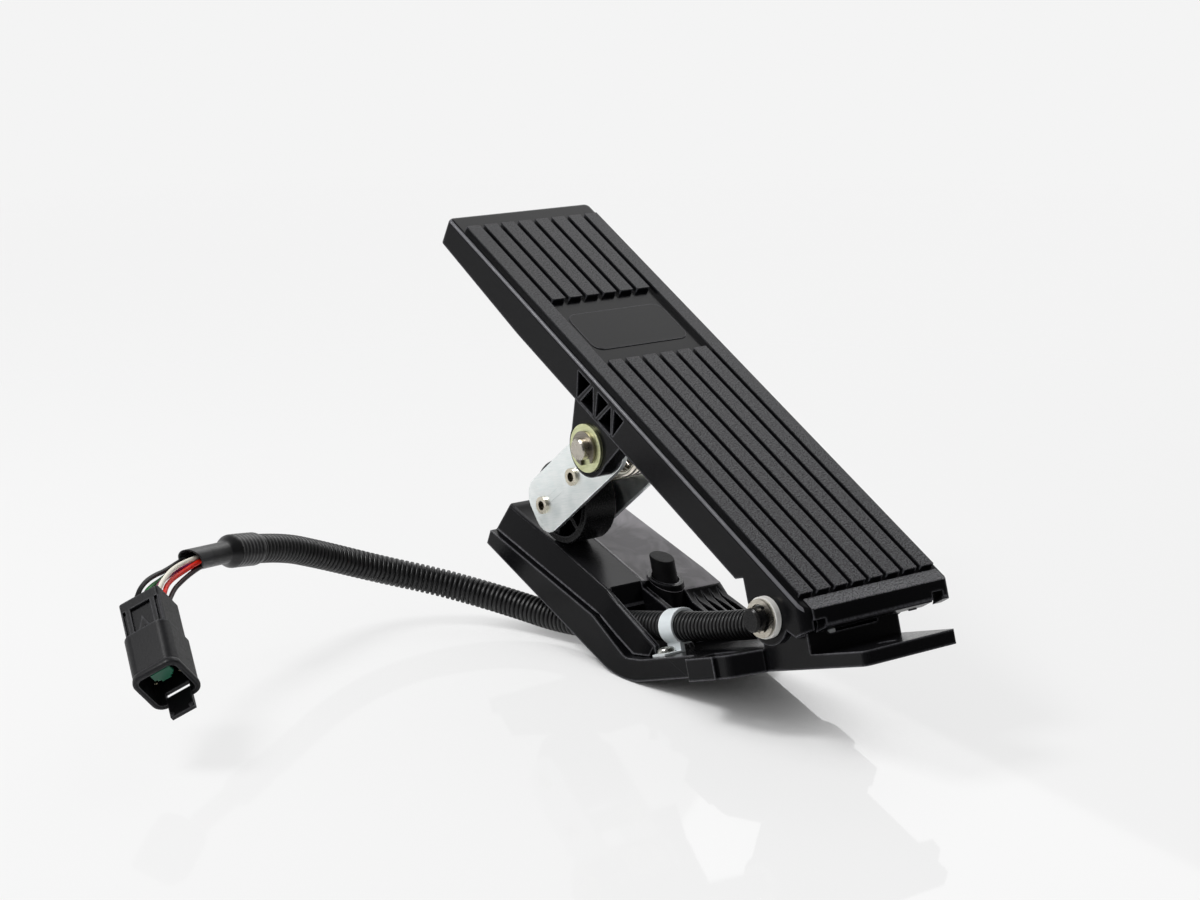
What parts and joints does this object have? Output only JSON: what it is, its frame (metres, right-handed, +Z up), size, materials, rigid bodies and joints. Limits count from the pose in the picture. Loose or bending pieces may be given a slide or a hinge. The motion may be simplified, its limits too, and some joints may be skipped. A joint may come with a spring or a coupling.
{
  "type": "accelerator pedal",
  "caption": "Floor-mounted accelerator pedal: a ribbed treadle hinged at the heel, a roller arm that runs up a ramp, a rubber stop and a wired sensor with a connector.",
  "frame": {"origin": "midway between the two floor bolts, on the mounting face", "axes": "+X to the driver's right, +Y from heel to toe, +Z up out of the mounting face"},
  "size_m": [0.2899, 0.2853, 0.2171],
  "materials": {
    "black_moulding": "fine grain",
    "black_pin": "black coated",
    "bush_nylon": "natural nylon",
    "zinc_steel": "zinc plated",
    "yellow_zinc": "yellow passivated",
    "bare_steel": "ground",
    "spring_steel": "drawn wire",
    "brass": "rolled",
    "roller_nylon": "moulded",
    "stop_rubber": "moulded",
    "sensor_case": "moulded",
    "loom_plastic": "corrugated",
    "shrink_plastic": "shrunk",
    "white_clip": "moulded",
    "connector_plastic": "moulded",
    "green_plastic": "moulded",
    "black_wire": "insulation",
    "purple_wire": "insulation",
    "white_wire": "insulation",
    "green_wire": "insulation",
    "red_wire": "insulation",
    "brown_wire": "insulation"
  },
  "bodies": {
    "base": {"base": "black_moulding", "rubber_stop": "stop_rubber", "sensor_module": "sensor_case", "heel_pin": "black_pin", "retaining_ring": "bare_steel", "loom": "loom_plastic", "loom_clip": "white_clip", "clip_screw": "zinc_steel", "shrink_sleeve": "shrink_plastic", "connector_housing": "connector_plastic", "wedge_lock": "green_plastic", "wire_black": "black_wire", "terminal_1": "brass", "wire_white": "white_wire", "terminal_2": "brass", "wire_red": "red_wire", "terminal_3": "brass", "wire_green": "green_wire", "terminal_4": "brass", "wire_purple": "purple_wire", "terminal_5": "brass", "wire_brown": "brown_wire", "terminal_6": "brass"},
    "treadle": {"treadle": "black_moulding", "heel_bush_left": "bush_nylon", "heel_bush_right": "bush_nylon", "pivot_pin": "bare_steel", "side_washer": "yellow_zinc", "pivot_clip": "bare_steel", "thrust_washer_left": "bush_nylon", "thrust_washer_right": "bush_nylon", "torsion_spring": "spring_steel"},
    "roller_arm": {"arm_plate_left": "zinc_steel", "arm_plate_right": "zinc_steel", "cross_spacer": "brass", "roller_axle": "brass", "pivot_sleeve": "bare_steel"},
    "roller": {"roller": "roller_nylon"}
  },
  "joints": [
    {"name": "treadle_hinge", "type": "hinge", "parent": "base", "child": "treadle", "pos_m": [0, -0.044, 0.0235], "axis": [-1, 0, 0], "range_deg": [0, 15], "stiffness_Nm_per_rad": 12, "springref_deg": -20.05},
    {"name": "arm_hinge", "type": "hinge", "parent": "treadle", "child": "roller_arm", "pos_m": [0, 0.05583, 0.10348], "axis": [1, 0, 0], "range_deg": [0, 57], "deforming": ["torsion_spring"]},
    {"name": "roller_spin", "type": "hinge", "parent": "roller_arm", "child": "roller", "pos_m": [-0.0109, 0.10944, 0.08242], "axis": [-1, 0, 0], "range_deg": [0, 111]}
  ],
  "couplings": [
    {"joint": "arm_hinge", "follows": "treadle_hinge", "ratio": 3.7945},
    {"joint": "roller_spin", "follows": "treadle_hinge", "ratio": 7.341}
  ]
}
